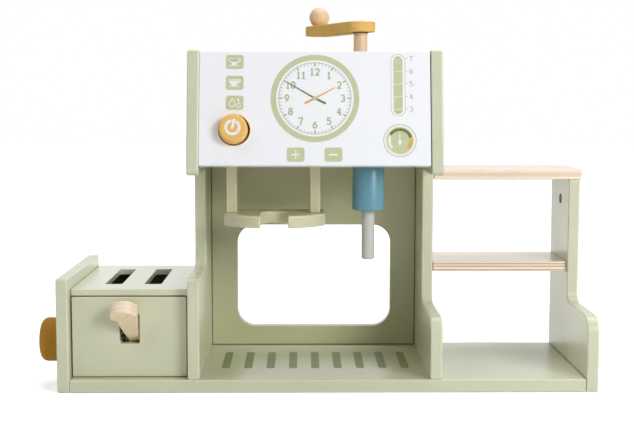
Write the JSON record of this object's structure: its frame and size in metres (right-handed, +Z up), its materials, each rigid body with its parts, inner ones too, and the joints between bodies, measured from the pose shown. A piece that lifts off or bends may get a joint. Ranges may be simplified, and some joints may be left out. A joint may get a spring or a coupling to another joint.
{
  "type": "toy coffee maker",
  "caption": "Wooden play coffee machine with a side toaster, two open shelves, a push button, a top crank, a filter holder and a steam pipe.",
  "frame": {"origin": "on the table under the middle of the body: the centre of the base board's underside", "axes": "+X to the right along the front, +Y from the front to the back, +Z up"},
  "size_m": [0.4705, 0.1795, 0.3282],
  "materials": {
    "painted_sage": "satin paint",
    "painted_sage_inner": "satin paint",
    "painted_white": "satin paint",
    "painted_cream": "satin paint",
    "painted_mustard": "satin paint",
    "painted_blue": "satin paint",
    "painted_grey": "satin paint",
    "plywood": "clear lacquer",
    "beech": "clear lacquer",
    "steel": "brushed",
    "cam_plastic": "matte"
  },
  "bodies": {
    "body": {"base_board": "painted_sage", "toaster_end_panel": "painted_sage", "left_wall": "painted_sage", "right_wall": "painted_sage", "shelf_end_panel": "painted_sage", "back_panel": "painted_sage_inner", "hood_front_panel": "painted_white", "hood_top_board": "painted_sage", "hood_floor": "plywood", "toaster_top": "painted_sage", "toaster_front": "painted_sage", "toaster_back": "painted_sage_inner", "axle_blocks": "beech", "shelf_top": "plywood", "shelf_middle": "plywood", "barrel_nut": "cam_plastic", "holder_side_left": "painted_cream", "holder_side_right": "painted_cream", "holder_plate": "painted_cream", "holder_screws": "steel", "steam_pipe_body": "painted_blue", "steam_pipe_spout": "painted_grey", "button_guide": "beech", "base_screws": "steel"},
    "power_button": {"power_button": "painted_mustard", "button_stem": "beech"},
    "crank": {"crank_post": "beech", "crank_washer": "steel", "crank_keeper": "beech", "crank_arm": "painted_mustard", "crank_screw": "steel", "crank_ball": "beech"},
    "toaster_dial": {"toaster_dial": "painted_mustard", "dial_axle": "beech", "dial_keeper": "beech"},
    "toast_lever": {"toast_lever": "plywood", "lever_axle": "steel", "lift_arms": "plywood", "lift_bar": "beech"}
  },
  "joints": [
    {"name": "button_push", "type": "slide", "parent": "body", "child": "power_button", "axis": [0, 0.9792, -0.2028], "range_m": [0, 0.005], "stiffness_N_per_m": 150, "springref_m": -0.001},
    {"name": "crank_turn", "type": "hinge", "parent": "body", "child": "crank", "pos_m": [0.0292, 0.008, 0.3016], "axis": [0, 0, 1], "continuous": true},
    {"name": "dial_turn", "type": "hinge", "parent": "body", "child": "toaster_dial", "pos_m": [-0.2255, -0.038, 0.0386], "axis": [1, 0, 0], "continuous": true},
    {"name": "lever_press", "type": "hinge", "parent": "body", "child": "toast_lever", "pos_m": [-0.166, -0.05, 0.0419], "axis": [1, 0, 0], "range_deg": [0, 16]}
  ]
}
